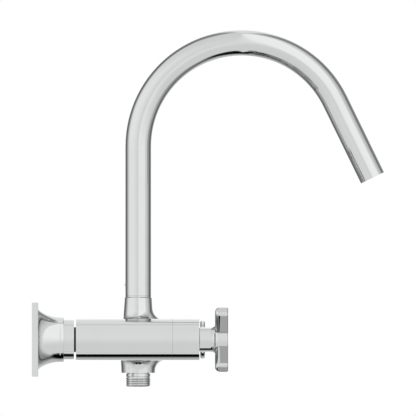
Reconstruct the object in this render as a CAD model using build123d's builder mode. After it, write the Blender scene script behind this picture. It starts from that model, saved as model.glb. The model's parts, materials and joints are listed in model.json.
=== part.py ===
from build123d import *
import math
import os

# Bath shower mixer, in millimetres
# The wall is the plane X = 0. +X points out of it, +Y to the cold side and +Z up.
# The origin lies on the wall, midway between the two inlets.

# Layout
inlet_centres = 150.0
spout_axis_x = 90.5
barrel_rear_x = 37.5
seam_x = 119.6
sleeve_front_x = 142.4
grip_gap = 0.4
thread_clearance = 0.05
braze_gap = 0.05
running_clearance = 0.05

# Wall flange
plate_width = 63.0
plate_thickness = 5.4
plate_wall = 2.2
trumpet_base_radius = 26.2
trumpet_mouth_radius = 19.25
trumpet_mouth_x = 27.2
trumpet_land = 3.0
trumpet_wall = 1.9

# Wall union: a G1/2 socket at the wall and a G3/4 male end in front
socket_thread_radius = 9.3
socket_depth = 14.0
union_bore_radius = 7.0
union_rear_radius = 14.5
union_rear_length = 3.0
union_hex_across = 30.0
union_hex_length = 12.0
union_thread_radius = 13.2
union_front_x = 28.2

# Union nut and inlet neck
nut_radius = 17.1
nut_rear_x = 19.0
nut_front_x = 35.8
nut_lip = 3.3
nut_hole_clearance = 0.2
washer_thickness = 2.0
neck_radius = 10.7
neck_collar_radius = 12.3
neck_bore_radius = 6.5
neck_thread_radius = 9.5
neck_thread_length = 12.0
thread_run_out = 1.0

# Valve barrel
barrel_radius = 17.65
spigot_radius = 15.0
spigot_length = 5.5
seat_x = 80.0
chamber_radius = 12.0
chamber_front_x = 103.0

# Headwork
headwork_thread_radius = 10.45
skirt_radius = 9.25
skirt_bore_radius = 8.4
seat_seal_thickness = 2.5
seat_seal_proud = 1.0
disc_thickness = 4.0
disc_window_inner = 2.2
disc_window_outer = 6.6
disc_window_angle = 80.0
disc_film = 0.03
skirt_window_length = 7.5
skirt_window_width = 11.0
headwork_flange_radius = 13.6
headwork_flange_length = 3.0
hex_across = 24.0
hex_length = 6.0
gland_radius = 8.5
gland_front_x = 141.0
headwork_ring_radius = 13.1
headwork_ring_width = 1.6

# Spindle
spindle_radius = 4.5
spindle_flange_length = 2.2
spindle_core_radius = 3.4
tongue_width = 3.2
tongue_length = 11.0
tongue_depth = 1.6
spline_root_radius = 3.5
spline_tip_radius = 4.0
spline_teeth = 10
spline_clearance = 0.08
spindle_front_x = 152.0
spindle_ring_width = 1.6
spindle_ring_depth = 1.2
spindle_ring_x = 118.0
clip_thickness = 0.8
clip_depth = 0.6
clip_radius = 6.4
clip_mouth = 6.0
clip_clearance = 0.1
screw_radius = 2.0
screw_hole_depth = 8.0
screw_end_gap = 1.0

# Bonnet sleeve
sleeve_face = 2.8
sleeve_hole_clearance = 0.3

# Cross handle
handle_neck_radius = 10.4
handle_back_x = 155.7
handle_front_x = 166.8
hub_radius = 13.2
arm_reach = 35.4
arm_width = 9.5
arm_back_round = 4.4
arm_end_round = 2.4
arm_angle = 45.0
neck_flare_x = 152.1
neck_flare_round = 5.5
front_chamfer = 0.7
spline_socket_x = 152.8
cap_pocket_radius = 7.0
cap_pocket_depth = 6.6
screw_head_radius = 4.2
screw_head_length = 2.8
screw_key_across = 3.0
screw_key_depth = 1.8
screw_hole_clearance = 0.2
cap_clearance = 0.1
cap_thickness = 2.6
cap_recess = 0.2
cap_edge = 0.4

# Bridge body, which carries the diverter, the spout boss and the hose boss
bridge_radius = 16.5
bridge_bore_radius = 12.0
bridge_core_radius = 14.5
bridge_end_wall = 4.0
bridge_spigot_radius = 9.0
bridge_spigot_bore = 7.0
port_radius = 5.5
spout_boss_radius = 11.55
spout_boss_z = 36.0
spout_boss_chamfer = 0.4
hose_boss_radius = 14.3
hose_boss_z = -28.2
boss_draft = 2.8
body_fillet = 8.4
spout_thread_radius = 8.3
spout_thread_length = 12.0

# Diverter
liner_radius = 10.4
liner_wall = 1.2
liner_rear_x = 80.0
liner_front_x = 108.0
diverter_thread_radius = 11.4
plug_gap = 0.3
plug_front_x = 104.0
plug_slot_depth = 2.0
knob_hub_radius = 8.0
knob_disc_x = 143.2
knob_disc_radius = 16.35
knob_disc_thickness = 4.0
knob_edge_round = 1.2
knob_bar_front_x = 160.0
knob_bar_length = 30.0
knob_bar_width = 9.4
knob_bar_round = 2.0
knob_pocket_radius = 3.5
knob_pocket_depth = 5.0
knob_screw_head_radius = 3.3
knob_screw_head_length = 2.2
knob_key_across = 2.5
knob_key_depth = 1.4
knob_cap_thickness = 1.6

# Spout
tube_radius = 11.0
tube_wall = 1.2
bend_radius = 88.1
bend_centre_z = 164.2
fall_angle = 26.0
fall_length = 72.6
glide_ring_thickness = 1.4
joint_chamfer = 0.2
nipple_top_z = 60.0
nipple_bore_radius = 6.0
nipple_chamfer = 0.8
nipple_ring_width = 2.0
nipple_ring_depth = 1.6
lower_ring_z = 41.5
upper_ring_z = 54.5
grub_z = 47.5
grub_radius = 1.5
grub_proud = 0.5
grub_reach = 1.0
grub_key_across = 1.5
grub_key_depth = 1.2
grub_groove_depth = 1.3
grub_groove_width = 3.6

# Aerator, in a bush in the spout's end
bush_length = 12.5
bush_bore_radius = 9.25
bush_ledge_radius = 7.6
bush_ledge_length = 1.5
aerator_recess = 0.6
aerator_wall = 1.0
aerator_lip = 1.0
aerator_washer_thickness = 1.5
insert_thickness = 4.0
insert_hole_across = 2.0
insert_hole_pitch = 2.9
insert_hole_rings = 2

# Hose outlet
outlet_root_radius = 9.0
outlet_root_length = 9.0
outlet_collar_radius = 10.3
outlet_collar_length = 2.8
outlet_thread_radius = 10.48
outlet_end_z = -39.9
outlet_chamfer = 0.9
outlet_key_across = 12.0
outlet_key_depth = 7.0
outlet_ring_radius = 10.25
outlet_ring_width = 1.5

# Sizes worked out from the ones above
side_y = inlet_centres / 2
spigot_front_x = seam_x + spigot_length
collar_x = union_front_x + washer_thickness
lip_x = nut_front_x - nut_lip
neck_front_x = barrel_rear_x + neck_thread_length
hex_rear_x = spigot_front_x + headwork_flange_length
hex_front_x = hex_rear_x + hex_length
fixed_disc_x = seat_x + seat_seal_thickness
fixed_disc_front_x = fixed_disc_x + disc_thickness
moving_disc_x = fixed_disc_front_x + disc_film
moving_disc_front_x = moving_disc_x + disc_thickness
disc_radius = skirt_bore_radius - 2 * running_clearance
clip_x = gland_front_x + clip_clearance
spline_x = clip_x + clip_thickness + clip_clearance
grip_rear_x = sleeve_front_x + grip_gap
cap_pocket_x = handle_front_x - cap_pocket_depth
liner_bore_radius = liner_radius - liner_wall
knob_pocket_x = knob_bar_front_x - knob_pocket_depth
tube_bore_radius = tube_radius - tube_wall
nipple_radius = tube_bore_radius - running_clearance
tube_foot_z = spout_boss_z + glide_ring_thickness
aerator_radius = bush_bore_radius - thread_clearance
bend_centre_x = spout_axis_x + bend_radius
fall = math.radians(fall_angle)
spout_end_x = bend_centre_x + bend_radius * math.cos(fall) + fall_length * math.sin(fall)
spout_end_z = bend_centre_z + bend_radius * math.sin(fall) - fall_length * math.cos(fall)

# Axes and planes
spout_axis = Axis((spout_axis_x, 0, 0), (0, 0, 1))
spout_section = Plane((spout_axis_x, 0, 0), x_dir=(1, 0, 0), z_dir=(0, -1, 0))
flow = Vector(math.sin(fall), 0, -math.cos(fall))
spout_mouth = Plane((spout_end_x, 0, spout_end_z), x_dir=(0, 1, 0), z_dir=-flow)


def turn_x(points, mode=Mode.ADD):
    """Revolves a half section of (x, radius) points about the X axis."""
    with BuildSketch(Plane.XZ) as half:
        with BuildLine():
            Polyline(*points, close=True)
        make_face()
    revolve(half.sketch, axis=Axis.X, mode=mode)


def rod_x(x0, x1, radius, mode=Mode.ADD):
    """A rod along X."""
    turn_x([(x0, 0), (x1, 0), (x1, radius), (x0, radius)], mode)


def ring_x(x0, x1, radius, bore, mode=Mode.ADD):
    """A ring along X."""
    turn_x([(x0, bore), (x1, bore), (x1, radius), (x0, radius)], mode)


def hex_x(x0, x1, across, mode=Mode.ADD):
    """A hexagon along X, by its width across the flats."""
    with BuildSketch(Plane.YZ.offset(x0)) as hexagon:
        RegularPolygon(across / 2, 6, major_radius=False)
    extrude(hexagon.sketch, amount=x1 - x0, mode=mode)


def turn_z(points, mode=Mode.ADD):
    """Revolves a half section of (radius, z) points about the spout's axis."""
    with BuildSketch(spout_section) as half:
        with BuildLine():
            Polyline(*points, close=True)
        make_face()
    revolve(half.sketch, axis=spout_axis, mode=mode)


def ring_z(z0, z1, radius, bore, mode=Mode.ADD):
    """A ring along the spout's axis."""
    turn_z([(bore, z0), (radius, z0), (radius, z1), (bore, z1)], mode)


def rod_z(z0, z1, radius, mode=Mode.ADD):
    """A rod along the spout's axis."""
    turn_z([(0, z0), (radius, z0), (radius, z1), (0, z1)], mode)


def mouth_ring(depth0, depth1, radius, bore, mode=Mode.ADD):
    """A ring inside the spout's end, between two depths from its face."""
    with BuildSketch(spout_mouth.offset(depth0)) as ring:
        Circle(radius)
        Circle(bore, mode=Mode.SUBTRACT)
    extrude(ring.sketch, amount=depth1 - depth0, mode=mode)


def toothed_rod(x0, x1, extra, mode=Mode.ADD):
    """The spindles' toothed end, or with some extra the socket that it fits."""
    tooth_width = math.pi * spline_root_radius / spline_teeth
    with BuildSketch(Plane.YZ.offset(x0)) as star:
        Circle(spline_root_radius + extra)
        with PolarLocations(0, spline_teeth):
            with Locations(((spline_tip_radius + extra) / 2, 0)):
                Rectangle(spline_tip_radius + extra, tooth_width + 2 * extra)
    extrude(star.sketch, amount=x1 - x0, mode=mode)


def drive_tongue(x0, x1, extra, mode=Mode.ADD):
    """The flat tongue that turns a disc or plug, or with some extra its slot."""
    with BuildSketch(Plane.YZ.offset(x0)) as tongue:
        Rectangle(tongue_length + extra, tongue_width + extra)
    extrude(tongue.sketch, amount=x1 - x0, mode=mode)


def disc_windows(x0, x1, turn):
    """Cuts the two facing windows of a ceramic disc."""
    half_angle = math.radians(disc_window_angle / 2)
    reach = disc_window_outer * 2
    across = reach * math.tan(half_angle)
    with BuildSketch(Plane.YZ.offset(x0)) as windows:
        with PolarLocations(0, 2, start_angle=turn):
            Polygon((0, 0), (reach, across), (reach, -across), align=None)
        Circle(disc_window_outer, mode=Mode.INTERSECT)
        Circle(disc_window_inner, mode=Mode.SUBTRACT)
    extrude(windows.sketch, amount=x1 - x0, mode=Mode.SUBTRACT)


def write(part, name):
    """Labels a finished piece and writes its file."""
    part.label = name
    export_step(part, f"parts/{name}.step")


# Wall flange: a square plate with a hollow back, drawn out into a trumpet

with BuildPart() as wall_flange:
    with BuildSketch(Plane.YZ):
        Rectangle(plate_width, plate_width)
    extrude(amount=plate_thickness)
    with BuildSketch(Plane.XZ) as trumpet:
        with BuildLine():
            land = Line(
                (trumpet_mouth_x, trumpet_mouth_radius),
                (trumpet_mouth_x - trumpet_land, trumpet_mouth_radius),
            )
            flare = TangentArc(land @ 1, (plate_thickness, trumpet_base_radius), tangent=(-1, 0))
            Polyline(flare @ 1, (0, trumpet_base_radius), (0, 0), (trumpet_mouth_x, 0), land @ 0)
        make_face()
    revolve(trumpet.sketch, axis=Axis.X)
    with BuildSketch(Plane.YZ):
        Rectangle(plate_width - 2 * plate_wall, plate_width - 2 * plate_wall)
    extrude(amount=plate_thickness - plate_wall, mode=Mode.SUBTRACT)
    with BuildSketch(Plane.XZ) as hollow:
        mouth_bore = trumpet_mouth_radius - trumpet_wall
        with BuildLine():
            bore_land = Line((trumpet_mouth_x, mouth_bore), (trumpet_mouth_x - trumpet_land, mouth_bore))
            bore_flare = TangentArc(
                bore_land @ 1,
                (0, trumpet_base_radius - trumpet_wall),
                tangent=(-1, 0),
            )
            Polyline(bore_flare @ 1, (0, 0), (trumpet_mouth_x, 0), bore_land @ 0)
        make_face()
    revolve(hollow.sketch, axis=Axis.X, mode=Mode.SUBTRACT)

# Wall union

with BuildPart() as wall_union:
    hex_rear = union_rear_length
    hex_front = union_rear_length + union_hex_length
    rod_x(0, hex_rear, union_rear_radius)
    hex_x(hex_rear, hex_front, union_hex_across)
    rod_x(hex_front, union_front_x, union_thread_radius)
    rod_x(0, socket_depth, socket_thread_radius, Mode.SUBTRACT)
    rod_x(socket_depth, union_front_x, union_bore_radius, Mode.SUBTRACT)

with BuildPart() as inlet_washer:
    ring_x(union_front_x, collar_x, neck_collar_radius, union_bore_radius)

# Union nut, whose front lip holds the neck's collar

with BuildPart() as union_nut:
    rod_x(nut_rear_x, nut_front_x, nut_radius)
    rod_x(nut_rear_x, lip_x, union_thread_radius + thread_clearance, Mode.SUBTRACT)
    rod_x(lip_x, nut_front_x, neck_radius + nut_hole_clearance, Mode.SUBTRACT)

with BuildPart() as inlet_neck:
    rod_x(collar_x, lip_x, neck_collar_radius)
    rod_x(lip_x, barrel_rear_x, neck_radius)
    rod_x(barrel_rear_x, neck_front_x, neck_thread_radius)
    rod_x(collar_x, neck_front_x, neck_bore_radius, Mode.SUBTRACT)


def spigot_ring_seat():
    """The step in a spigot's face for the headwork's ring."""
    rod_x(
        spigot_front_x - headwork_ring_width,
        spigot_front_x,
        headwork_ring_radius + thread_clearance,
        Mode.SUBTRACT,
    )


# Valve barrel, with its port to the bridge on +Y

with BuildPart() as valve_barrel:
    rod_x(barrel_rear_x, seam_x, barrel_radius)
    rod_x(seam_x, spigot_front_x, spigot_radius)
    rod_x(
        barrel_rear_x,
        neck_front_x + thread_run_out,
        neck_thread_radius + thread_clearance,
        Mode.SUBTRACT,
    )
    rod_x(barrel_rear_x, seat_x, neck_bore_radius, Mode.SUBTRACT)
    rod_x(seat_x, chamber_front_x, chamber_radius, Mode.SUBTRACT)
    rod_x(
        chamber_front_x,
        spigot_front_x,
        headwork_thread_radius + thread_clearance,
        Mode.SUBTRACT,
    )
    spigot_ring_seat()
    with BuildSketch(Plane.XZ):
        with Locations((spout_axis_x, 0)):
            Circle(bridge_spigot_radius + braze_gap)
    extrude(amount=-barrel_radius, mode=Mode.SUBTRACT)

# Bonnet sleeve, the same on the valves and the diverter

with BuildPart() as bonnet_sleeve:
    face_x = sleeve_front_x - sleeve_face
    rod_x(seam_x, sleeve_front_x, barrel_radius)
    rod_x(seam_x, face_x, spigot_radius + thread_clearance, Mode.SUBTRACT)
    rod_x(face_x, sleeve_front_x, gland_radius + sleeve_hole_clearance, Mode.SUBTRACT)


def headwork_front(shoulder_x, thread_radius):
    """Thread, flange, hexagon and gland of a headwork, with the spindle's bore."""
    rod_x(shoulder_x, spigot_front_x, thread_radius)
    rod_x(spigot_front_x, hex_rear_x, headwork_flange_radius)
    hex_x(hex_rear_x, hex_front_x, hex_across)
    rod_x(hex_front_x, gland_front_x, gland_radius)
    rod_x(shoulder_x, gland_front_x, spindle_radius + running_clearance, Mode.SUBTRACT)


def spindle_stem(shoulder_x, flange_radius):
    """Flange, stem, grooves, toothed end and screw hole of a spindle."""
    flange_front_x = shoulder_x - running_clearance
    rod_x(flange_front_x - spindle_flange_length, flange_front_x, flange_radius)
    rod_x(flange_front_x, spline_x, spindle_radius)
    toothed_rod(spline_x, spindle_front_x, 0)
    ring_x(
        spindle_ring_x - spindle_ring_width / 2,
        spindle_ring_x + spindle_ring_width / 2,
        spindle_radius,
        spindle_radius - spindle_ring_depth,
        Mode.SUBTRACT,
    )
    ring_x(
        clip_x,
        clip_x + clip_thickness,
        spindle_radius,
        spindle_radius - clip_depth,
        Mode.SUBTRACT,
    )
    rod_x(
        spindle_front_x - screw_hole_depth,
        spindle_front_x,
        screw_radius + thread_clearance,
        Mode.SUBTRACT,
    )


# Headwork with its seal, ceramic discs, spindle, ring and clip

with BuildPart() as headwork:
    headwork_front(chamber_front_x, headwork_thread_radius)
    ring_x(seat_x + seat_seal_proud, chamber_front_x, skirt_radius, skirt_bore_radius)
    with BuildSketch(Plane.XZ):
        with Locations((moving_disc_front_x + skirt_window_length / 2, 0)):
            Rectangle(skirt_window_length, skirt_window_width)
    extrude(amount=skirt_radius, both=True, mode=Mode.SUBTRACT)

with BuildPart() as seat_seal:
    ring_x(seat_x, fixed_disc_x, skirt_bore_radius - thread_clearance, neck_bore_radius)

with BuildPart() as fixed_disc:
    rod_x(fixed_disc_x, fixed_disc_front_x, disc_radius)
    disc_windows(fixed_disc_x, fixed_disc_front_x, 0)

with BuildPart() as moving_disc:
    rod_x(moving_disc_x, moving_disc_front_x, disc_radius)
    disc_windows(moving_disc_x, moving_disc_front_x, 90)
    drive_tongue(
        moving_disc_front_x - tongue_depth,
        moving_disc_front_x,
        2 * running_clearance,
        Mode.SUBTRACT,
    )

with BuildPart() as spindle:
    core_front_x = chamber_front_x - running_clearance - spindle_flange_length
    drive_tongue(moving_disc_front_x - tongue_depth, moving_disc_front_x, 0)
    rod_x(moving_disc_front_x, core_front_x, spindle_core_radius)
    spindle_stem(chamber_front_x, skirt_bore_radius - 2 * running_clearance)

with BuildPart() as spindle_o_ring:
    ring_x(
        spindle_ring_x - spindle_ring_width / 2,
        spindle_ring_x + spindle_ring_width / 2,
        spindle_radius,
        spindle_radius - spindle_ring_depth,
    )

with BuildPart() as spindle_clip:
    ring_x(clip_x, clip_x + clip_thickness, clip_radius, spindle_radius - clip_depth)
    with BuildSketch(Plane.YZ.offset(clip_x)):
        with Locations((0, -clip_radius)):
            Rectangle(clip_mouth, 2 * clip_radius)
    extrude(amount=clip_thickness, mode=Mode.SUBTRACT)

with BuildPart() as headwork_o_ring:
    ring_x(
        spigot_front_x - headwork_ring_width,
        spigot_front_x,
        headwork_ring_radius,
        headwork_thread_radius + thread_clearance,
    )


def cross_bar(turn):
    """One bar of the cross handle, at turn degrees from +Y."""
    direction = Vector(0, math.cos(math.radians(turn)), math.sin(math.radians(turn)))
    middle = Vector((handle_back_x + handle_front_x) / 2, 0, 0)
    with BuildPart() as bar:
        start = Plane(middle - direction * arm_reach, x_dir=(1, 0, 0), z_dir=direction)
        with BuildSketch(start) as section:
            Rectangle(handle_front_x - handle_back_x, arm_width)
            fillet(section.vertices().group_by(Axis.X)[0], arm_back_round)
        extrude(amount=2 * arm_reach)
        along = bar.faces().sort_by(Axis((0, 0, 0), direction))
        for end in (along[0], along[-1]):
            fillet(end.edges().sort_by(Axis.X)[:-1], arm_end_round)
    return bar.part


# Cross handle: two bars with rounded backs across a hub, whose neck flares out to it

with BuildPart() as handle:
    add(cross_bar(arm_angle))
    add(cross_bar(arm_angle + 90))
    with BuildSketch(Plane.XZ) as hub:
        flare_mid_radius = (handle_neck_radius + hub_radius) / 2
        flare_turn = math.acos(1 - (flare_mid_radius - handle_neck_radius) / neck_flare_round)
        flare_length = 2 * neck_flare_round * math.sin(flare_turn)
        with BuildLine():
            neck = Line((grip_rear_x, handle_neck_radius), (neck_flare_x, handle_neck_radius))
            flare = TangentArc(
                neck @ 1,
                (neck_flare_x + flare_length / 2, flare_mid_radius),
                tangent=(1, 0),
            )
            shoulder = TangentArc(
                flare @ 1,
                (neck_flare_x + flare_length, hub_radius),
                tangent=flare % 1,
            )
            Polyline(
                shoulder @ 1,
                (handle_front_x, hub_radius),
                (handle_front_x, 0),
                (grip_rear_x, 0),
                neck @ 0,
            )
        make_face()
    revolve(hub.sketch, axis=Axis.X)
    chamfer(handle.faces().sort_by(Axis.X)[-1].edges(), front_chamfer)
    toothed_rod(grip_rear_x, spline_socket_x, spline_clearance, Mode.SUBTRACT)
    rod_x(spline_socket_x, cap_pocket_x, screw_radius + screw_hole_clearance, Mode.SUBTRACT)
    rod_x(cap_pocket_x, handle_front_x, cap_pocket_radius, Mode.SUBTRACT)

with BuildPart() as handle_screw:
    head_front_x = cap_pocket_x + screw_head_length
    rod_x(cap_pocket_x, head_front_x, screw_head_radius)
    rod_x(
        spindle_front_x - screw_hole_depth + screw_end_gap,
        cap_pocket_x,
        screw_radius,
    )
    hex_x(head_front_x - screw_key_depth, head_front_x, screw_key_across, Mode.SUBTRACT)

with BuildPart() as index_cap:
    cap_front_x = handle_front_x - cap_recess
    rod_x(cap_front_x - cap_thickness, cap_front_x, cap_pocket_radius - cap_clearance)
    chamfer(index_cap.faces().sort_by(Axis.X)[-1].edges(), cap_edge)

# Bridge body: cross bridge, diverter housing and the two bosses, blended together

with BuildPart() as bridge_body:
    with BuildSketch(Plane.XZ):
        with Locations((spout_axis_x, 0)):
            Circle(bridge_radius)
    extrude(amount=side_y, both=True)
    rod_x(spout_axis_x, seam_x, barrel_radius)
    draft = math.tan(math.radians(boss_draft))
    turn_z(
        [
            (0, 0),
            (spout_boss_radius + spout_boss_z * draft, 0),
            (spout_boss_radius, spout_boss_z - spout_boss_chamfer),
            (spout_boss_radius - spout_boss_chamfer, spout_boss_z),
            (0, spout_boss_z),
        ]
    )
    turn_z(
        [
            (0, 0),
            (hose_boss_radius - hose_boss_z * draft, 0),
            (hose_boss_radius, hose_boss_z),
            (0, hose_boss_z),
        ]
    )
    fillet(bridge_body.edges().filter_by(GeomType.BSPLINE), body_fillet)
    rod_x(seam_x, spigot_front_x, spigot_radius)
    with BuildSketch(Plane.YZ):
        with Locations((side_y, 0), (-side_y, 0)):
            Circle(barrel_radius + braze_gap)
    extrude(amount=sleeve_front_x, mode=Mode.SUBTRACT)
    spigot_reach = side_y - chamber_radius
    way_end = side_y - barrel_radius - bridge_end_wall
    with BuildSketch(Plane.XZ):
        with Locations((spout_axis_x, 0)):
            Circle(bridge_spigot_radius)
    extrude(amount=spigot_reach, both=True)
    for side in (1, -1):
        with BuildSketch(Plane.XZ.offset(side * bridge_core_radius)):
            with Locations((spout_axis_x, 0)):
                Circle(bridge_bore_radius)
        extrude(amount=side * (way_end - bridge_core_radius), mode=Mode.SUBTRACT)
        with BuildSketch(Plane.XZ.offset(side * way_end)):
            with Locations((spout_axis_x, 0)):
                Circle(bridge_spigot_bore)
        extrude(amount=side * (spigot_reach - way_end), mode=Mode.SUBTRACT)
    rod_x(liner_rear_x, liner_front_x, liner_radius + thread_clearance, Mode.SUBTRACT)
    rod_x(
        liner_front_x,
        spigot_front_x,
        diverter_thread_radius + thread_clearance,
        Mode.SUBTRACT,
    )
    spigot_ring_seat()
    with BuildSketch(Plane.XZ):
        with Locations((spout_axis_x, 0)):
            Circle(port_radius)
    extrude(amount=bridge_core_radius, both=True, mode=Mode.SUBTRACT)
    rod_z(hose_boss_z, spout_boss_z, port_radius, Mode.SUBTRACT)
    rod_z(
        spout_boss_z - spout_thread_length - thread_run_out,
        spout_boss_z,
        spout_thread_radius + thread_clearance,
        Mode.SUBTRACT,
    )
    rod_z(
        hose_boss_z,
        hose_boss_z + outlet_root_length + thread_run_out,
        outlet_root_radius + thread_clearance,
        Mode.SUBTRACT,
    )
    rod_z(
        hose_boss_z,
        hose_boss_z + outlet_ring_width,
        outlet_ring_radius + thread_clearance,
        Mode.SUBTRACT,
    )

# Diverter: a liner with four ports round a plug with a tee bore

with BuildPart() as diverter_liner:
    ring_x(liner_rear_x, liner_front_x, liner_radius, liner_bore_radius)
    rod_z(-liner_radius, liner_radius, port_radius, Mode.SUBTRACT)
    with BuildSketch(Plane.XZ):
        with Locations((spout_axis_x, 0)):
            Circle(port_radius)
    extrude(amount=liner_radius, both=True, mode=Mode.SUBTRACT)

with BuildPart() as diverter_plug:
    rod_x(liner_rear_x + plug_gap, plug_front_x, liner_bore_radius - running_clearance)
    rod_z(0, liner_bore_radius, port_radius, Mode.SUBTRACT)
    with BuildSketch(Plane.XZ):
        with Locations((spout_axis_x, 0)):
            Circle(port_radius)
    extrude(amount=liner_bore_radius, both=True, mode=Mode.SUBTRACT)
    drive_tongue(
        plug_front_x - plug_slot_depth,
        plug_front_x,
        2 * running_clearance,
        Mode.SUBTRACT,
    )

with BuildPart() as diverter_spindle:
    core_front_x = liner_front_x - running_clearance - spindle_flange_length
    drive_tongue(plug_front_x - plug_slot_depth, plug_front_x, 0)
    rod_x(plug_front_x, core_front_x, spindle_core_radius)
    spindle_stem(liner_front_x, liner_bore_radius - 2 * running_clearance)

with BuildPart() as diverter_headwork:
    headwork_front(liner_front_x, diverter_thread_radius)

with BuildPart() as diverter_o_ring:
    ring_x(
        spigot_front_x - headwork_ring_width,
        spigot_front_x,
        headwork_ring_radius,
        diverter_thread_radius + thread_clearance,
    )

# Diverter knob: a disc with a bar grip

with BuildPart() as diverter_knob:
    disc_front_x = knob_disc_x + knob_disc_thickness
    rod_x(knob_disc_x, disc_front_x, knob_disc_radius)
    fillet(diverter_knob.edges().filter_by(GeomType.CIRCLE), knob_edge_round)
    with BuildSketch(Plane.YZ.offset(disc_front_x)):
        SlotOverall(knob_bar_length, knob_bar_width)
    extrude(amount=knob_bar_front_x - disc_front_x)
    fillet(diverter_knob.faces().sort_by(Axis.X)[-1].edges(), knob_bar_round)
    rod_x(grip_rear_x, knob_disc_x, knob_hub_radius)
    toothed_rod(grip_rear_x, spline_socket_x, spline_clearance, Mode.SUBTRACT)
    rod_x(spline_socket_x, knob_pocket_x, screw_radius + screw_hole_clearance, Mode.SUBTRACT)
    rod_x(knob_pocket_x, knob_bar_front_x, knob_pocket_radius, Mode.SUBTRACT)

with BuildPart() as knob_screw:
    head_front_x = knob_pocket_x + knob_screw_head_length
    rod_x(knob_pocket_x, head_front_x, knob_screw_head_radius)
    rod_x(
        spindle_front_x - screw_hole_depth + screw_end_gap,
        knob_pocket_x,
        screw_radius,
    )
    hex_x(head_front_x - knob_key_depth, head_front_x, knob_key_across, Mode.SUBTRACT)

with BuildPart() as knob_cap:
    cap_front_x = knob_bar_front_x - cap_recess
    rod_x(cap_front_x - knob_cap_thickness, cap_front_x, knob_pocket_radius - cap_clearance)

# Spout nipple, screwed into the boss, with two rings and the grub screw's groove

with BuildPart() as spout_nipple:
    rod_z(spout_boss_z - spout_thread_length, spout_boss_z, spout_thread_radius)
    rod_z(spout_boss_z, nipple_top_z, nipple_radius)
    chamfer(spout_nipple.faces().sort_by(Axis.Z)[-1].edges(), nipple_chamfer)
    rod_z(spout_boss_z - spout_thread_length, nipple_top_z, nipple_bore_radius, Mode.SUBTRACT)
    for ring_z_middle in (lower_ring_z, upper_ring_z):
        ring_z(
            ring_z_middle - nipple_ring_width / 2,
            ring_z_middle + nipple_ring_width / 2,
            nipple_radius,
            nipple_radius - nipple_ring_depth,
            Mode.SUBTRACT,
        )
    ring_z(
        grub_z - grub_groove_width / 2,
        grub_z + grub_groove_width / 2,
        nipple_radius,
        nipple_radius - grub_groove_depth,
        Mode.SUBTRACT,
    )

with BuildPart() as spout_lower_o_ring:
    ring_z(
        lower_ring_z - nipple_ring_width / 2,
        lower_ring_z + nipple_ring_width / 2,
        nipple_radius,
        nipple_radius - nipple_ring_depth,
    )

with BuildPart() as spout_upper_o_ring:
    ring_z(
        upper_ring_z - nipple_ring_width / 2,
        upper_ring_z + nipple_ring_width / 2,
        nipple_radius,
        nipple_radius - nipple_ring_depth,
    )

with BuildPart() as spout_glide_ring:
    ring_z(spout_boss_z, tube_foot_z, tube_radius, nipple_radius + running_clearance)
    rims = spout_glide_ring.edges().filter_by(GeomType.CIRCLE)
    chamfer(rims.sort_by(SortBy.RADIUS)[-2:], joint_chamfer)

# Spout tube: a straight rise, one round bend and a straight fall

with BuildPart() as spout_tube:
    with BuildLine(Plane.XZ) as route:
        rise = Line((spout_axis_x, tube_foot_z), (spout_axis_x, bend_centre_z))
        bend = JernArc(rise @ 1, tangent=rise % 1, radius=bend_radius, arc_size=fall_angle - 180)
        Line(bend @ 1, bend @ 1 + (bend % 1) * fall_length)
    with BuildSketch(Plane.XY.offset(tube_foot_z)):
        with Locations((spout_axis_x, 0)):
            Circle(tube_radius)
            Circle(tube_bore_radius, mode=Mode.SUBTRACT)
    sweep()
    with BuildSketch(Plane.YZ.offset(spout_axis_x)):
        with Locations((0, grub_z)):
            Circle(grub_radius + thread_clearance)
    extrude(amount=-tube_radius, mode=Mode.SUBTRACT)

with BuildPart() as spout_grub_screw:
    grub_rear_x = spout_axis_x - tube_radius - grub_proud
    with BuildSketch(Plane.YZ.offset(grub_rear_x)):
        with Locations((0, grub_z)):
            Circle(grub_radius)
    extrude(amount=spout_axis_x - nipple_radius + grub_reach - grub_rear_x)
    with BuildSketch(Plane.YZ.offset(grub_rear_x)):
        with Locations((0, grub_z)):
            RegularPolygon(grub_key_across / 2, 6, major_radius=False)
    extrude(amount=grub_key_depth, mode=Mode.SUBTRACT)

# Bush and aerator in the spout's end

with BuildPart() as spout_end_bush:
    mouth_ring(0, bush_length, tube_bore_radius - braze_gap, bush_bore_radius)
    mouth_ring(
        bush_length - bush_ledge_length,
        bush_length,
        bush_bore_radius + braze_gap,
        bush_ledge_radius,
    )

ledge_depth = bush_length - bush_ledge_length
housing_depth = ledge_depth - aerator_washer_thickness

with BuildPart() as aerator_washer:
    mouth_ring(housing_depth, ledge_depth, aerator_radius, bush_ledge_radius)

with BuildPart() as aerator_housing:
    mouth_ring(aerator_recess, housing_depth, aerator_radius, aerator_radius - aerator_wall)
    mouth_ring(
        aerator_recess,
        aerator_recess + aerator_lip,
        aerator_radius - aerator_wall / 2,
        aerator_radius - aerator_wall - aerator_lip,
    )

with BuildPart() as aerator_insert:
    with BuildSketch(spout_mouth.offset(aerator_recess + aerator_lip)):
        Circle(aerator_radius - aerator_wall - thread_clearance)
        RegularPolygon(insert_hole_across / 2, 6, major_radius=False, mode=Mode.SUBTRACT)
        for ring in range(1, insert_hole_rings + 1):
            with PolarLocations(ring * insert_hole_pitch, 6 * ring):
                RegularPolygon(insert_hole_across / 2, 6, major_radius=False, mode=Mode.SUBTRACT)
    extrude(amount=insert_thickness)

# Hose outlet

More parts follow.
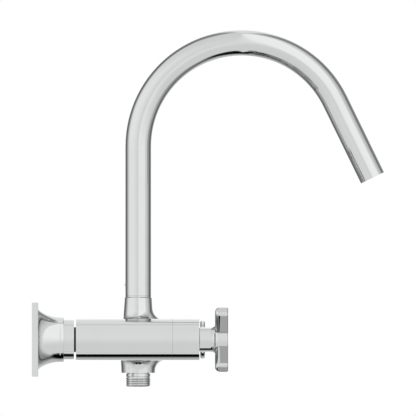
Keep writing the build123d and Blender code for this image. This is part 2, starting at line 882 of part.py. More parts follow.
with BuildPart() as hose_outlet:
    collar_end_z = hose_boss_z - outlet_collar_length
    turn_z(
        [
            (0, hose_boss_z + outlet_root_length),
            (outlet_root_radius, hose_boss_z + outlet_root_length),
            (outlet_root_radius, hose_boss_z),
            (outlet_collar_radius, hose_boss_z),
            (outlet_collar_radius, collar_end_z),
            (outlet_thread_radius, collar_end_z),
            (outlet_thread_radius, outlet_end_z + outlet_chamfer),
            (outlet_thread_radius - outlet_chamfer, outlet_end_z),
            (0, outlet_end_z),
        ]
    )
    rod_z(outlet_end_z, hose_boss_z + outlet_root_length, port_radius, Mode.SUBTRACT)
    with BuildSketch(Plane.XY.offset(outlet_end_z)):
        with Locations((spout_axis_x, 0)):
            RegularPolygon(outlet_key_across / 2, 6, major_radius=False)
    extrude(amount=outlet_key_depth, mode=Mode.SUBTRACT)

with BuildPart() as hose_outlet_o_ring:
    ring_z(
        hose_boss_z,
        hose_boss_z + outlet_ring_width,
        outlet_ring_radius,
        outlet_root_radius + thread_clearance,
    )

# Each side's pieces are the same, but the barrels are a mirrored pair

side_pieces = {
    "wall_flange": wall_flange,
    "wall_union": wall_union,
    "inlet_washer": inlet_washer,
    "union_nut": union_nut,
    "inlet_neck": inlet_neck,
    "bonnet_sleeve": bonnet_sleeve,
    "headwork": headwork,
    "headwork_o_ring": headwork_o_ring,
    "seat_seal": seat_seal,
    "fixed_disc": fixed_disc,
    "moving_disc": moving_disc,
    "spindle": spindle,
    "spindle_o_ring": spindle_o_ring,
    "spindle_clip": spindle_clip,
    "handle": handle,
    "handle_screw": handle_screw,
    "index_cap": index_cap,
}

centre_pieces = {
    "bridge_body": bridge_body,
    "diverter_liner": diverter_liner,
    "diverter_plug": diverter_plug,
    "diverter_spindle": diverter_spindle,
    "diverter_spindle_o_ring": spindle_o_ring,
    "diverter_spindle_clip": spindle_clip,
    "diverter_headwork": diverter_headwork,
    "diverter_o_ring": diverter_o_ring,
    "diverter_sleeve": bonnet_sleeve,
    "diverter_knob": diverter_knob,
    "knob_screw": knob_screw,
    "knob_cap": knob_cap,
    "spout_nipple": spout_nipple,
    "spout_lower_o_ring": spout_lower_o_ring,
    "spout_upper_o_ring": spout_upper_o_ring,
    "spout_glide_ring": spout_glide_ring,
    "spout_tube": spout_tube,
    "spout_grub_screw": spout_grub_screw,
    "spout_end_bush": spout_end_bush,
    "aerator_washer": aerator_washer,
    "aerator_housing": aerator_housing,
    "aerator_insert": aerator_insert,
    "hose_outlet": hose_outlet,
    "hose_outlet_o_ring": hose_outlet_o_ring,
}

os.makedirs("parts", exist_ok=True)

for name, piece in centre_pieces.items():
    write(piece.part, name)

for side, y in (("hot", -side_y), ("cold", side_y)):
    for name, piece in side_pieces.items():
        write(piece.part.moved(Location((0, y, 0))), f"{side}_{name}")

write(valve_barrel.part.moved(Location((0, -side_y, 0))), "hot_valve_barrel")
cold_barrel = mirror(valve_barrel.part, about=Plane.XZ)
write(cold_barrel.moved(Location((0, side_y, 0))), "cold_valve_barrel")
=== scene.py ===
import json
import math

import bmesh
import bpy
import numpy as np
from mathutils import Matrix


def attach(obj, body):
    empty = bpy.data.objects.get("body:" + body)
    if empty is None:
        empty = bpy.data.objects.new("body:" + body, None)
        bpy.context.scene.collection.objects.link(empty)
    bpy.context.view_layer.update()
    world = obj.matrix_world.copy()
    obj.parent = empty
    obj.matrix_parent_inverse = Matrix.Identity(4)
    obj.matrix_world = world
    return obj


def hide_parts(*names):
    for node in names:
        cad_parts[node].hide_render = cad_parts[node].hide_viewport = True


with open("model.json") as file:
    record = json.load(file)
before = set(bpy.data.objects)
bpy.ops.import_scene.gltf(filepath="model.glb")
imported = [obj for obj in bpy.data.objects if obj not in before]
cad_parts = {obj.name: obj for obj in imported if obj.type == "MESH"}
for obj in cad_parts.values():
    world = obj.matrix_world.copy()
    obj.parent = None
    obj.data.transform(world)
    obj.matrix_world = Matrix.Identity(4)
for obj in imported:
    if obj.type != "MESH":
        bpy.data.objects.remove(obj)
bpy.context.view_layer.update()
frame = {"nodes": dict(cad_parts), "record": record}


# shader plumbing

class Signal:
    # a shader socket that takes part in ordinary arithmetic
    def __init__(self, tree, socket):
        self.tree = tree
        self.socket = socket

    def math(self, operation, first, second):
        node = self.tree.nodes.new("ShaderNodeMath")
        node.operation = operation
        for port, value in zip(node.inputs, (first, second)):
            if isinstance(value, Signal):
                self.tree.links.new(value.socket, port)
            else:
                port.default_value = value
        return Signal(self.tree, node.outputs[0])

    def __add__(self, other):
        return self.math("ADD", self, other)

    def __radd__(self, other):
        return self.math("ADD", other, self)

    def __sub__(self, other):
        return self.math("SUBTRACT", self, other)

    def __rsub__(self, other):
        return self.math("SUBTRACT", other, self)

    def __mul__(self, other):
        return self.math("MULTIPLY", self, other)

    def __rmul__(self, other):
        return self.math("MULTIPLY", other, self)

    def __truediv__(self, other):
        return self.math("DIVIDE", self, other)

    def __rtruediv__(self, other):
        return self.math("DIVIDE", other, self)

    def __pow__(self, other):
        return self.math("POWER", self, other)

    def __rpow__(self, other):
        return self.math("POWER", other, self)


class Recipe:
    # the nodes of one material, or of the world
    def __init__(self, owner):
        owner.use_nodes = True
        self.tree = owner.node_tree
        self.tree.nodes.clear()

    def add(self, kind, settings=None, sockets=None, out=0):
        node = self.tree.nodes.new("ShaderNode" + kind)
        for key, value in (settings or {}).items():
            setattr(node, key, value)
        for key, value in (sockets or {}).items():
            if isinstance(key, int):
                port = node.inputs[key]
            else:
                port = next(p for p in node.inputs if p.enabled and p.name == key)
            if isinstance(value, Signal):
                self.tree.links.new(value.socket, port)
            else:
                port.default_value = value
        return Signal(self.tree, node.outputs[out]) if node.outputs else None

    def smooth(self, value, low, high):
        # 0 below low, 1 above high, eased between
        return self.add(
            "MapRange",
            {"interpolation_type": "SMOOTHSTEP"},
            {"Value": value, "From Min": low, "From Max": high},
        )


# finishes

chromeLook = {
    "color": (0.512, 0.522, 0.519),
    "wipedColor": (0.498, 0.508, 0.506),
    "roughness": 0.03,
    "haze": 0.035,              # how much duller the wiped patches are
    "hazeScale": 45,            # patches to the metre
    "wipedBetween": (0.45, 0.75),
    "hairScale": 1500,
    "hairs": 0.01,              # how much duller the finest scratches are
    "polishScale": 260,         # the waviness left by the polishing wheel
    "polishDepth": 0.000004,
    "polishStrength": 0.25,
}


def makeChrome():
    look = chromeLook
    material = bpy.data.materials.new("polishedChrome")
    recipe = Recipe(material)
    place = recipe.add("TexCoord", out="Object")
    haze = recipe.add(
        "TexNoise",
        {},
        {"Vector": place, "Scale": look["hazeScale"], "Detail": 4, "Roughness": 0.6},
    )
    hairs = recipe.add("TexNoise", {}, {"Vector": place, "Scale": look["hairScale"], "Detail": 1})
    polish = recipe.add(
        "TexNoise", {}, {"Vector": place, "Scale": look["polishScale"], "Detail": 1}
    )
    wiped = recipe.smooth(haze, *look["wipedBetween"])
    roughness = look["roughness"] + wiped * look["haze"] + hairs * look["hairs"]
    tint = recipe.add(
        "Mix",
        {"data_type": "RGBA"},
        {"Factor": wiped, "A": (*look["color"], 1), "B": (*look["wipedColor"], 1)},
        out=2,
    )
    bump = recipe.add(
        "Bump",
        {},
        {
            "Strength": look["polishStrength"],
            "Distance": look["polishDepth"],
            "Height": polish,
        },
    )
    shader = recipe.add(
        "BsdfPrincipled",
        {},
        {"Base Color": tint, "Metallic": 1.0, "Roughness": roughness, "Normal": bump},
    )
    recipe.add("OutputMaterial", {}, {"Surface": shader})
    return material


brassLooks = {
    "bare_brass": {
        "color": (0.74, 0.55, 0.27),
        "dull": (0.5, 0.34, 0.16),
        "turningPitch": 0.00035,  # metres between the lathe's marks
        "roughness": 0.26,
    },
    # dark_brass is painted shade: a near-black colour that stands in for the shade inside a
    # narrow, deep gap between parts, not the metal's own colour
    "dark_brass": {
        "color": (0.035, 0.031, 0.03),
        "dull": (0.02, 0.018, 0.018),
        "turningPitch": 0.00035,
        "roughness": 0.3,
    },
}
brassWear = {
    "stainScale": 120,
    "stainedBetween": (0.4, 0.8),
    "stainShare": 0.6,        # how far a stain goes towards the dull colour
    "stainRoughness": 0.12,
    "markStrength": 0.3,
    "markDepth": 0.00002,
}


def makeBrass(slot):
    look, wear = brassLooks[slot], brassWear
    material = bpy.data.materials.new("turned_" + slot)
    recipe = Recipe(material)
    place = recipe.add("TexCoord", out="Object")
    along = recipe.add("SeparateXYZ", {}, {"Vector": place}, out="X")
    marks = recipe.add(
        "Math", {"operation": "SINE"}, {"Value": along * (2 * math.pi / look["turningPitch"])}
    )
    stain = recipe.add(
        "TexNoise", {}, {"Vector": place, "Scale": wear["stainScale"], "Detail": 5}
    )
    tint = recipe.add(
        "Mix",
        {"data_type": "RGBA"},
        {
            "Factor": recipe.smooth(stain, *wear["stainedBetween"]) * wear["stainShare"],
            "A": (*look["color"], 1),
            "B": (*look["dull"], 1),
        },
        out=2,
    )
    bump = recipe.add(
        "Bump",
        {},
        {"Strength": wear["markStrength"], "Distance": wear["markDepth"], "Height": marks},
    )
    shader = recipe.add(
        "BsdfPrincipled",
        {},
        {
            "Base Color": tint,
            "Metallic": 1.0,
            "Roughness": look["roughness"] + stain * wear["stainRoughness"],
            "Normal": bump,
        },
    )
    recipe.add("OutputMaterial", {}, {"Surface": shader})
    return material


steelLook = {
    "color": (0.6, 0.6, 0.61),
    "roughness": 0.22,
    "grainScale": 2200,
    "grainRoughness": 0.15,
    "grainStrength": 0.2,
    "grainDepth": 0.00001,
}


def makeSteel():
    look = steelLook
    material = bpy.data.materials.new("brushedSteel")
    recipe = Recipe(material)
    place = recipe.add("TexCoord", out="Object")
    grain = recipe.add(
        "TexNoise", {}, {"Vector": place, "Scale": look["grainScale"], "Detail": 2}
    )
    bump = recipe.add(
        "Bump",
        {},
        {"Strength": look["grainStrength"], "Distance": look["grainDepth"], "Height": grain},
    )
    shader = recipe.add(
        "BsdfPrincipled",
        {},
        {
            "Base Color": (*look["color"], 1),
            "Metallic": 1.0,
            "Roughness": look["roughness"] + grain * look["grainRoughness"],
            "Normal": bump,
        },
    )
    recipe.add("OutputMaterial", {}, {"Surface": shader})
    return material


mouldedLooks = {
    # color, color of the grain's low spots, roughness, grain scale, grain depth, coat
    "rubber": ((0.028, 0.028, 0.03), (0.018, 0.018, 0.02), 0.62, 900, 0.00002, 0.0),
    "ceramic": ((0.86, 0.85, 0.8), (0.8, 0.79, 0.74), 0.18, 1400, 0.000004, 0.0),
    "white_plastic": ((0.78, 0.79, 0.8), (0.7, 0.71, 0.72), 0.38, 700, 0.00001, 0.0),
    "red_index": ((0.62, 0.025, 0.02), (0.5, 0.02, 0.018), 0.24, 500, 0.000008, 0.6),
    "blue_index": ((0.02, 0.11, 0.52), (0.015, 0.08, 0.42), 0.24, 500, 0.000008, 0.6),
}
mouldedSurface = {
    "cloudScale": 90,
    "cloudedBetween": (0.3, 0.7),
    "cloudRoughness": 0.08,  # how much duller the clouded patches are
    "grainStrength": 0.3,
    "coatRoughness": 0.08,
}


def makeMoulded(slot):
    look = mouldedSurface
    color, low, roughness, scale, depth, coat = mouldedLooks[slot]
    material = bpy.data.materials.new("moulded_" + slot)
    recipe = Recipe(material)
    place = recipe.add("TexCoord", out="Object")
    grain = recipe.add("TexNoise", {}, {"Vector": place, "Scale": scale, "Detail": 3})
    cloud = recipe.add(
        "TexNoise", {}, {"Vector": place, "Scale": look["cloudScale"], "Detail": 2}
    )
    tint = recipe.add(
        "Mix",
        {"data_type": "RGBA"},
        {
            "Factor": recipe.smooth(cloud, *look["cloudedBetween"]),
            "A": (*color, 1),
            "B": (*low, 1),
        },
        out=2,
    )
    bump = recipe.add(
        "Bump", {}, {"Strength": look["grainStrength"], "Distance": depth, "Height": grain}
    )
    shader = recipe.add(
        "BsdfPrincipled",
        {},
        {
            "Base Color": tint,
            "Roughness": roughness + cloud * look["cloudRoughness"],
            "Coat Weight": coat,
            "Coat Roughness": look["coatRoughness"],
            "Normal": bump,
        },
    )
    recipe.add("OutputMaterial", {}, {"Surface": shader})
    return material


finishes = {"chrome": makeChrome(), "steel": makeSteel()}
for slotName in brassLooks:
    finishes[slotName] = makeBrass(slotName)
for slotName in mouldedLooks:
    finishes[slotName] = makeMoulded(slotName)

for part in frame["record"]["subparts"]:
    for holder in frame["nodes"][part["node"]].material_slots:
        holder.material = finishes[part["material_slot"]]
print("finishes:", len(finishes))


# places that several pieces share

spoutAxisX = 0.0905
barrelSide = 0.075  # from the middle to either barrel's axis


# turned pieces

def roundAt(radius):
    return lambda angle, place: radius


def hexAt(across):
    # radius to a hexagon's flats, with a corner at angle 0
    def radiusAt(angle, place):
        turn = (angle + math.pi / 6) % (math.pi / 3) - math.pi / 6
        return across / 2 / math.cos(math.pi / 6 - abs(turn))
    return radiusAt


def squareAt(width):
    # radius to a square's sides, with a corner at 45 degrees
    return lambda angle, place: width / 2 / max(abs(math.cos(angle)), abs(math.sin(angle)))


def threadAt(crest, depth, pitch, fade, sharpness=1.0, inside=False):
    # a helical thread; fade(place) is 1 where it is full and 0 where it has run out
    def radiusAt(angle, place):
        wave = 0.5 - 0.5 * math.cos(2 * math.pi * place / pitch - angle)
        valley = wave ** sharpness * depth * fade(place)
        return crest + valley if inside else crest - valley
    return radiusAt


def turnedMesh(name, rings, steps, crease=38):
    # rings of (place along the axis, radius rule) run once round the section and close up
    mesh = bpy.data.meshes.new(name)
    points = []
    for place, rule in rings:
        for step in range(steps):
            angle = 2 * math.pi * step / steps
            radius = rule(angle, place)
            points.append((place, radius * math.cos(angle), radius * math.sin(angle)))
    quads = []
    for ring in range(len(rings)):
        here, there = ring * steps, (ring + 1) % len(rings) * steps
        for step in range(steps):
            turn = (step + 1) % steps
            quads.append((here + step, here + turn, there + turn, there + step))
    mesh.from_pydata(points, [], quads)
    form = bmesh.new()
    form.from_mesh(mesh)
    bmesh.ops.recalc_face_normals(form, faces=form.faces)
    form.to_mesh(mesh)
    form.free()
    mesh.polygons.foreach_set("use_smooth", [True] * len(mesh.polygons))
    mesh.set_sharp_from_angle(angle=math.radians(crease))
    return mesh


def putPiece(mesh, name, at, turn, slot, body, node=None):
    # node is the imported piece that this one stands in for
    piece = bpy.data.objects.new(name, mesh)
    bpy.context.scene.collection.objects.link(piece)
    piece.location = at
    piece.rotation_euler = turn
    mesh.materials.clear()
    mesh.materials.append(finishes[slot])
    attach(piece, body)
    if node:
        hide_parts(node)


# hose outlet, with its thread cut; along the axis 0 is the boss face and + is down

hoseOutlet = {
    "bossFace": -0.0282,
    "rootRadius": 0.009,
    "rootLength": 0.009,
    "grooveRadius": 0.0094,
    "grooveWidth": 0.0006,
    "collarRadius": 0.0103,
    "collarEnd": 0.0035,
    "collarRear": 0.0002,   # the collar's two chamfers
    "collarFront": 0.0003,
    "threadStart": 0.0040,
    "threadRadius": 0.01048,
    "threadDepth": 0.0006,
    "threadSharpness": 2.4,
    "threadFree": 0.0002,   # the thread starts after this and is full after runIn more
    "runIn": 0.0006,
    "threadSteps": 112,
    "pitch": 0.001814,
    "length": 0.0117,
    "chamfer": 0.0009,
    "keyAcross": 0.012,
    "keyDepth": 0.007,
    "keyEdge": 0.0003,
    "bore": 0.0055,
    "steps": 144,
}


def makeHoseOutlet():
    look = hoseOutlet
    collar, start, end = look["collarEnd"], look["threadStart"], look["length"]

    def fade(at):
        return min(1, max(0, (at - start - look["threadFree"]) / look["runIn"]))

    cut = threadAt(
        look["threadRadius"], look["threadDepth"], look["pitch"], fade, look["threadSharpness"]
    )

    def threadWithChamfer(angle, at):
        return min(cut(angle, at), look["threadRadius"] - look["chamfer"] + (end - at))

    rings = [
        (-look["rootLength"], roundAt(look["rootRadius"])),
        (0, roundAt(look["rootRadius"])),
        (0, roundAt(look["grooveRadius"])),
        (look["grooveWidth"], roundAt(look["grooveRadius"])),
        (look["grooveWidth"], roundAt(look["collarRadius"] - look["collarRear"])),
        (look["grooveWidth"] + look["collarRear"], roundAt(look["collarRadius"])),
        (collar - look["collarFront"], roundAt(look["collarRadius"])),
        (collar, roundAt(look["collarRadius"] - look["collarFront"])),
        (collar, roundAt(look["grooveRadius"])),
        (start, roundAt(look["grooveRadius"])),
    ]
    for step in range(look["threadSteps"] + 1):
        rings.append((start + (end - start) * step / look["threadSteps"], threadWithChamfer))
    rings += [
        (end, hexAt(look["keyAcross"] + 2 * look["keyEdge"])),
        (end - look["keyEdge"], hexAt(look["keyAcross"])),
        (end - look["keyDepth"], hexAt(look["keyAcross"])),
        (end - look["keyDepth"], roundAt(look["bore"])),
        (-look["rootLength"], roundAt(look["bore"])),
    ]
    putPiece(
        turnedMesh("hoseOutletCut", rings, look["steps"]),
        "hoseOutletCut",
        (spoutAxisX, 0, look["bossFace"]),
        (0, math.pi / 2, 0),
        "chrome",
        "mixer_body",
        "hose_outlet",
    )


makeHoseOutlet()
print("hose outlet threaded")


# wall unions, with their sockets threaded

wallUnion = {
    "rearRadius": 0.0145,
    "rearEdge": 0.0004,
    "rearLength": 0.003,
    "hexAcross": 0.030,
    "hexLength": 0.012,
    "frontRadius": 0.0132,
    "frontX": 0.0282,
    "maleRear": 0.001,       # plain lengths behind and before the male thread
    "maleFront": 0.0005,
    "maleSteps": 59,
    "threadDepth": 0.00116,
    "pitch": 0.001814,
    "socketRadius": 0.0093,
    "socketDepth": 0.014,
    "socketSharpness": 0.8,
    "socketSteps": 96,
    "runOut": 0.001,         # the socket's thread fades over this and ends as far from the bottom
    "mouthChamfer": 0.0013,
    "bore": 0.007,
    "steps": 144,
}


def makeWallUnion():
    look = wallUnion
    hexFront = look["rearLength"] + look["hexLength"]
    depth = look["socketDepth"]

    def fade(at):
        return min(1, max(0, (depth - look["runOut"] - at) / look["runOut"]))

    cut = threadAt(
        look["socketRadius"],
        look["threadDepth"],
        look["pitch"],
        fade,
        look["socketSharpness"],
        inside=True,
    )

    def mouth(angle, at):
        return max(cut(angle, at), look["socketRadius"] + look["mouthChamfer"] - at)

    # the male thread is full all along
    male = threadAt(look["frontRadius"], look["threadDepth"], look["pitch"], lambda at: 1)
    maleStart, maleEnd = hexFront + look["maleRear"], look["frontX"] - look["maleFront"]

    rings = [
        (look["rearEdge"], roundAt(look["rearRadius"])),
        (look["rearLength"], roundAt(look["rearRadius"])),
        (look["rearLength"], hexAt(look["hexAcross"])),
        (hexFront, hexAt(look["hexAcross"])),
        (hexFront, roundAt(look["frontRadius"] - look["threadDepth"])),
    ]
    for step in range(look["maleSteps"] + 1):
        rings.append((maleStart + (maleEnd - maleStart) * step / look["maleSteps"], male))
    rings += [
        (look["frontX"], roundAt(look["frontRadius"] - look["threadDepth"])),
        (look["frontX"], roundAt(look["bore"])),
        (depth, roundAt(look["bore"])),
    ]
    for step in range(look["socketSteps"] + 1):
        rings.append((depth * (1 - step / look["socketSteps"]), mouth))
    rings.append((0, roundAt(look["rearRadius"] - look["rearEdge"])))
    return turnedMesh("wallUnionCut", rings, look["steps"])


unionMesh = makeWallUnion()
for side, sign in (("hot", -1), ("cold", 1)):
    putPiece(
        unionMesh,
        side + "WallUnionCut",
        (0, sign * barrelSide, 0),
        (0, 0, 0),
        "bare_brass",
        "mixer_body",
        side + "_wall_union",
    )
print("wall unions threaded")


# wall flanges: a square plate with a hollow back, drawn out into a trumpet

wallFlange = {
    "width": 0.063,
    "thickness": 0.0054,
    "edge": 0.0003,
    "wall": 0.0022,
    "mouthX": 0.0272,
    "mouthRadius": 0.0193,
    "mouthBore": 0.01735,
    "lip": 0.0003,         # radius of the mouth's edge
    "lipSteps": 4,
    "landX": 0.0242,
    "bellX": 0.0084,       # where the long bell curve gives way to the tight one
    "bellRadius": 0.024,
    "baseAngle": 57,       # degrees from the axis, at the plate
    "tightSteps": 16,
    "bellSteps": 32,
    "shell": 0.0019,
    "steps": 192,
    "crease": 28,
}


def bellCurve():
    # points of (place, radius) from the plate to the mouth's land, along two tangent arcs
    look = wallFlange
    long, rise = look["landX"] - look["bellX"], look["bellRadius"] - look["mouthRadius"]
    bell = (long ** 2 + rise ** 2) / (2 * rise)
    turn = math.asin(long / bell)
    steep = math.radians(look["baseAngle"])
    short = look["bellX"] - look["thickness"]
    tight = short / (math.sin(steep) - math.sin(turn))
    points = []
    for step in range(look["tightSteps"] + 1):
        angle = steep + (turn - steep) * step / look["tightSteps"]
        points.append(
            (
                look["bellX"] - tight * (math.sin(angle) - math.sin(turn)),
                look["bellRadius"] + tight * (math.cos(turn) - math.cos(angle)),
            )
        )
    for step in range(1, look["bellSteps"] + 1):
        angle = turn * (1 - step / look["bellSteps"])
        points.append(
            (
                look["landX"] - bell * math.sin(angle),
                look["mouthRadius"] + bell * (1 - math.cos(angle)),
            )
        )
    return points


def makeWallFlange():
    look = wallFlange
    edge, front = look["edge"], look["thickness"]
    bell = bellCurve()
    rings = [
        (0, squareAt(look["width"])),
        (front - edge, squareAt(look["width"])),
        (front, squareAt(look["width"] - 2 * edge)),
    ]
    rings += [(place, roundAt(radius)) for place, radius in bell]
    for step in range(look["lipSteps"] + 1):
        turn = math.pi / 2 * step / look["lipSteps"]
        rings.append(
            (
                look["mouthX"] - look["lip"] * (1 - math.sin(turn)),
                roundAt(look["mouthRadius"] - look["lip"] * (1 - math.cos(turn))),
            )
        )
    rings.append((look["mouthX"], roundAt(look["mouthBore"])))
    rings += [(place, roundAt(radius - look["shell"])) for place, radius in reversed(bell)]
    base = bell[0][1]
    rings += [
        (0, roundAt(base - look["shell"])),
        (0, roundAt(base)),
        (front - look["wall"], roundAt(base)),
        (front - look["wall"], squareAt(look["width"] - 2 * look["wall"])),
        (0, squareAt(look["width"] - 2 * look["wall"])),
    ]
    return turnedMesh("wallFlangeDrawn", rings, look["steps"], look["crease"])


flangeMesh = makeWallFlange()
for side, sign in (("hot", -1), ("cold", 1)):
    putPiece(
        flangeMesh,
        side + "WallFlangeDrawn",
        (0, sign * barrelSide, 0),
        (0, 0, 0),
        "chrome",
        "mixer_body",
        side + "_wall_flange",
    )
print("wall flanges drawn")


# plain rings of rubber

def plainRing(name, look):
    rings = [
        (look["rearX"], roundAt(look["bore"])),
        (look["rearX"], roundAt(look["outerRadius"])),
        (look["frontX"], roundAt(look["outerRadius"])),
        (look["frontX"], roundAt(look["bore"])),
    ]
    return turnedMesh(name, rings, look["steps"])


# seam rings: thin near-black rings that paint the shade in the joints between the body and the
# bonnet sleeves

seamShadeRing = {
    "rearX": 0.11954,
    "frontX": 0.11966,
    "outerRadius": 0.01768,
    "bore": 0.0172,
    "steps": 160,
}

seamShadeRingMesh = plainRing("seamShadeRing", seamShadeRing)
for place, sign in (("hot", -1), ("diverter", 0), ("cold", 1)):
    putPiece(
        seamShadeRingMesh,
        place + "SeamShadeRing",
        (0, sign * barrelSide, 0),
        (0, 0, 0),
        "rubber",
        "mixer_body",
    )
print("seam rings in")


# cast skin: a closed skin over the bridge body, with the full blends of its bosses and of
# the diverter's housing; in its own frame X 0 is the spout's axis

castSkin = {
    "bridgeRadius": 0.0176,
    "housingRadius": 0.01771,
    "housingEnd": 0.0275,
    "barrelCore": 0.014,
    # radius at the boss's end, height of that end, height where the skin stops
    "spoutBoss": (0.01145, 0.036, 0.0335),
    "hoseBoss": (0.0142, 0.0282, 0.0265),
    "draft": 4.0,  # degrees that each boss widens towards the bridge
    "housingBlend": 0.0084,
    "bossBlend": 0.0089,
    "low": (-0.0215, -0.0765, -0.0285),
    "high": (0.0295, 0.0765, 0.0355),
    "blendDepth": 0.0005,         # how far inside the solids a blend is still worked out
    "leanBounds": (-0.95, 0.98),  # of the cosine between the two solids' slopes
    "cell": 0.0011,
    "settling": 5,                # rounds that bring each point onto the surface
    "leastSlope": 0.2,            # squared; keeps a kink from throwing a point far
}


def slopeOf(field, points, step=0.00002):
    slope = np.empty_like(points)
    for axis in range(3):
        shift = np.zeros(3)
        shift[axis] = step
        slope[:, axis] = (field(points + shift) - field(points - shift)) / (2 * step)
    return slope


def blended(first, second, radius):
    # two solids with the fillet that a ball leaves when it rolls along their joint
    def field(points):
        one, two = first(points), second(points)
        joined = np.minimum(one, two)
        close = (joined > -castSkin["blendDepth"]) & (np.maximum(one, two) < radius)
        if close.any():
            here = points[close]
            u, v = radius - one[close], radius - two[close]
            lean = np.sum(slopeOf(first, here) * slopeOf(second, here), axis=1)
            lean = np.clip(lean, *castSkin["leanBounds"])
            reach = np.sqrt((u ** 2 + v ** 2 - 2 * u * v * lean) / (1 - lean ** 2))
            touching = (v > lean * u) & (u > lean * v)
            joined[close] = np.where(touching, radius - reach, joined[close])
        return joined
    return field


def endedBehind(side, along):
    # side is the distance to an endless solid, which stops where along falls below 0
    behind = np.minimum(along, 0)
    return np.where(behind < 0, np.hypot(behind, np.maximum(side, 0)), side)


def bossField(spec, way):
    radius, height = spec[:2]
    tilt = math.radians(castSkin["draft"])

    def field(p):
        wide = radius + (height - way * p[:, 2]) * math.tan(tilt)
        side = (np.hypot(p[:, 0], p[:, 1]) - wide) * math.cos(tilt)
        return endedBehind(side, way * p[:, 2])
    return field


def castField():
    look = castSkin

    def bridge(p):
        return np.hypot(p[:, 0], p[:, 2]) - look["bridgeRadius"]

    def housing(p):
        return endedBehind(np.hypot(p[:, 1], p[:, 2]) - look["housingRadius"], p[:, 0])

    body = blended(bridge, housing, look["housingBlend"])
    body = blended(body, bossField(look["spoutBoss"], 1), look["bossBlend"])
    body = blended(body, bossField(look["hoseBoss"], -1), look["bossBlend"])

    def field(p):
        barrel = np.hypot(np.abs(p[:, 1]) - barrelSide, p[:, 2]) - look["barrelCore"]
        out = np.maximum(body(p), -barrel)
        out = np.maximum(out, np.abs(p[:, 1]) - barrelSide)
        out = np.maximum(out, p[:, 0] - look["housingEnd"])
        out = np.maximum(out, p[:, 2] - look["spoutBoss"][2])
        return np.maximum(out, -look["hoseBoss"][2] - p[:, 2])
    return field


def crossedCells(inside):
    # the grid's cells whose corners are partly inside the solid
    near, far = slice(0, -1), slice(1, None)
    corners = np.zeros(np.array(inside.shape) - 1, int)
    for i in (near, far):
        for j in (near, far):
            for k in (near, far):
                corners += inside[i, j, k]
    return (corners > 0) & (corners < 8)


def skinQuads(inside, index):
    # a quad round every grid edge that crosses the surface; index numbers the crossed cells
    quads = []
    for axis in range(3):
        a, b = (axis + 1) % 3, (axis + 2) % 3
        change = np.diff(inside.astype(int), axis=axis)
        places = np.argwhere(change != 0)
        sign = change[tuple(places.T)]
        ring = []
        for da, db in ((-1, -1), (0, -1), (0, 0), (-1, 0)):
            cellAt = places.copy()
            cellAt[:, a] += da
            cellAt[:, b] += db
            ring.append(index[tuple(cellAt.T)])
        ring = np.stack(ring, axis=1)
        ring[sign > 0] = ring[sign > 0][:, ::-1]
        quads.append(ring)
    return np.concatenate(quads)


def makeCastSkin():
    look = castSkin
    field, cell = castField(), look["cell"]
    low, high = np.array(look["low"]), np.array(look["high"])
    counts = np.ceil((high - low) / cell).astype(int) + 1
    axes = [low[k] + cell * np.arange(counts[k]) for k in range(3)]
    grid = np.stack(np.meshgrid(*axes, indexing="ij"), axis=-1)
    inside = (field(grid.reshape(-1, 3)) < 0).reshape(counts)

    crossed = crossedCells(inside)
    index = np.full(crossed.shape, -1)
    index[crossed] = np.arange(crossed.sum())
    points = low + cell * (np.argwhere(crossed) + 0.5)
    for _ in range(look["settling"]):
        slope = slopeOf(field, points)
        size = np.maximum(np.sum(slope ** 2, axis=1), look["leastSlope"])
        points = points - np.clip(field(points) / size, -cell, cell)[:, None] * slope
    slope = slopeOf(field, points)
    normals = slope / np.linalg.norm(slope, axis=1)[:, None]

    mesh = bpy.data.meshes.new("castSkin")
    mesh.from_pydata(points.tolist(), [], skinQuads(inside, index).tolist())
    mesh.polygons.foreach_set("use_smooth", [True] * len(mesh.polygons))
    mesh.normals_split_custom_set_from_vertices(normals.tolist())
    print("cast skin:", len(points), "points")
    return mesh


putPiece(makeCastSkin(), "castSkin", (spoutAxisX, 0, 0), (0, 0, 0), "chrome", "mixer_body")


# gap rings: thin near-black rings that close the thin gap between each bonnet sleeve and its
# handle, and paint the shade that falls in it

gapShadeRing = {
    "rearX": 0.14243,
    "frontX": 0.14277,
    "outerRadius": 0.0099,
    "bore": 0.0052,
    "steps": 96,
}

gapShadeRingMesh = plainRing("gapShadeRing", gapShadeRing)
for side, sign in (("hot", -1), ("cold", 1)):
    putPiece(
        gapShadeRingMesh,
        side + "GapShadeRing",
        (0, sign * barrelSide, 0),
        (0, 0, 0),
        "rubber",
        "mixer_body",
    )
print("dust rings in")


# floor

floorLook = {
    "height": -0.3,
    "reach": 0.9,
    "color": (0.86, 0.86, 0.86),
    "roughness": 0.9,
    "glow": 0.62,  # for the camera's eye alone, so that the ground is as white as the photo's
}


def makeFloor():
    mesh = bpy.data.meshes.new("floor")
    reach, height = floorLook["reach"], floorLook["height"]
    around = ((-reach, -reach), (reach, -reach), (reach, reach), (-reach, reach))
    mesh.from_pydata([(*corner, height) for corner in around], [], [(0, 1, 2, 3)])
    floor = bpy.data.objects.new("floor", mesh)
    bpy.context.scene.collection.objects.link(floor)
    material = bpy.data.materials.new("paleFloor")
    recipe = Recipe(material)
    ray = recipe.add("LightPath", out="Is Camera Ray")
    pale = recipe.add(
        "BsdfPrincipled",
        {},
        {
            "Base Color": (*floorLook["color"], 1),
            "Roughness": floorLook["roughness"],
            "Emission Color": (1, 1, 1, 1),
            "Emission Strength": ray * floorLook["glow"],
        },
    )
    under = recipe.add("NewGeometry", out="Backfacing")
    clear = recipe.add("BsdfTransparent")
    oneSided = recipe.add("MixShader", {}, {0: under, 1: pale, 2: clear})
    recipe.add("OutputMaterial", {}, {"Surface": oneSided})
    mesh.materials.append(material)
    floor.visible_glossy = False


makeFloor()


# studio: one even level with soft-edged panels laid over it in turn, brighter or darker
# than it; they were fitted to the tones that the photo's chrome reflects

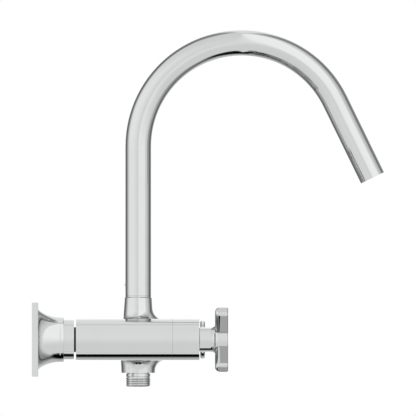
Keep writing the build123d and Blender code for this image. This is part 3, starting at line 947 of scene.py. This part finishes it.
studioLight = {
    "level": 1.163,
    "poleGuard": 0.000001,  # keeps the division sound straight up and straight down
    # azimuth from the camera, half width, easing; elevation from, to, easing; brightness
    "panels": [
        (-101, 43, 75, 10, 24, 45, 1.46),
        (32, 26, 9, 15, 85, 45, 1.59),
        (154, 11, 75, -31, 38, 45, 0.45),
        (178, 39, 31, 44, 67, 24, 0.40),
        (-158, 2, 65, 10, 29, 31, 0.26),
        (184, 26, 75, -36, -16, 45, 0.17),
        (-137, 39, 63, -88, -77, 42, 0.00),
        (175, 30, 20, -50, -45, 45, 0.73),
        (14, 85, 63, -88, -73, 3, 0.00),
        (-11, 2, 25, -86, -76, 11, 1.41),
        (159, 1, 24, -47, -22, 45, 0.86),
        (175, 1, 22, -26, 86, 3, 1.30),
        (108, 1, 42, -63, -52, 45, 0.44),
        (-86, 20, 47, -60, -68, 10, 0.83),
        (116, 7, 16, -79, -81, 37, 0.17),
        (41, 46, 49, -70, -83, 14, 0.65),
        (-25, 6, 8, -83, -72, 11, 0.72),
        (135, 64, 41, -90, -76, 15, 0.00),
        (117, 4, 3, -58, 78, 17, 0.16),
        (-130, 3, 3, -54, 55, 7, 0.20),
        (171, 60, 30, 86, 90, 4, 1.05),
    ],
}


def sine(degrees):
    return math.sin(math.radians(degrees))


def cosine(degrees):
    return math.cos(math.radians(degrees))


def makeStudio():
    look = studioLight
    world = bpy.data.worlds.new("studio")
    bpy.context.scene.world = world
    recipe = Recipe(world)
    direction = recipe.add("TexCoord", out="Generated")
    x = recipe.add("SeparateXYZ", {}, {"Vector": direction}, out="X")
    y = recipe.add("SeparateXYZ", {}, {"Vector": direction}, out="Y")
    z = recipe.add("SeparateXYZ", {}, {"Vector": direction}, out="Z")
    across = (x * x + y * y + look["poleGuard"]) ** 0.5
    light = look["level"]
    for azimuth, width, ease, low, high, fade, brightness in look["panels"]:
        facing = (x * sine(azimuth) - y * cosine(azimuth)) / across
        mask = recipe.smooth(facing, cosine(min(180, width + ease)), cosine(width))
        if low > -90:
            mask = mask * recipe.smooth(z, sine(max(-90, low - fade)), sine(low))
        if high < 90:
            mask = mask * (1 - recipe.smooth(z, sine(high), sine(min(90, high + fade))))
        light = light * (1 - mask) + mask * brightness
    seen = recipe.add("LightPath", out="Is Camera Ray")
    light = light * (1 - seen) + seen
    shader = recipe.add("Background", {}, {"Color": (1, 1, 1, 1), "Strength": light})
    recipe.add("OutputWorld", {}, {"Surface": shader})


makeStudio()
print("studio lit")


# camera: square on to the mixer's hot side, with no perspective

cameraLook = {
    "distance": 2.0,
    "pixel": 0.00085,  # metres to a pixel
    "frame": 416,
    "centre": (0.14973, 0.1119),
    "clip": (0.1, 100),
}


def makeCamera():
    look = cameraLook
    data = bpy.data.cameras.new("camera")
    data.type = "ORTHO"
    data.ortho_scale = look["pixel"] * look["frame"]
    data.clip_start, data.clip_end = look["clip"]
    camera = bpy.data.objects.new("camera", data)
    bpy.context.scene.collection.objects.link(camera)
    camera.location = (look["centre"][0], -look["distance"], look["centre"][1])
    camera.rotation_euler = (math.pi / 2, 0, 0)
    bpy.context.scene.camera = camera


makeCamera()
bpy.context.scene.view_settings.view_transform = "Standard"
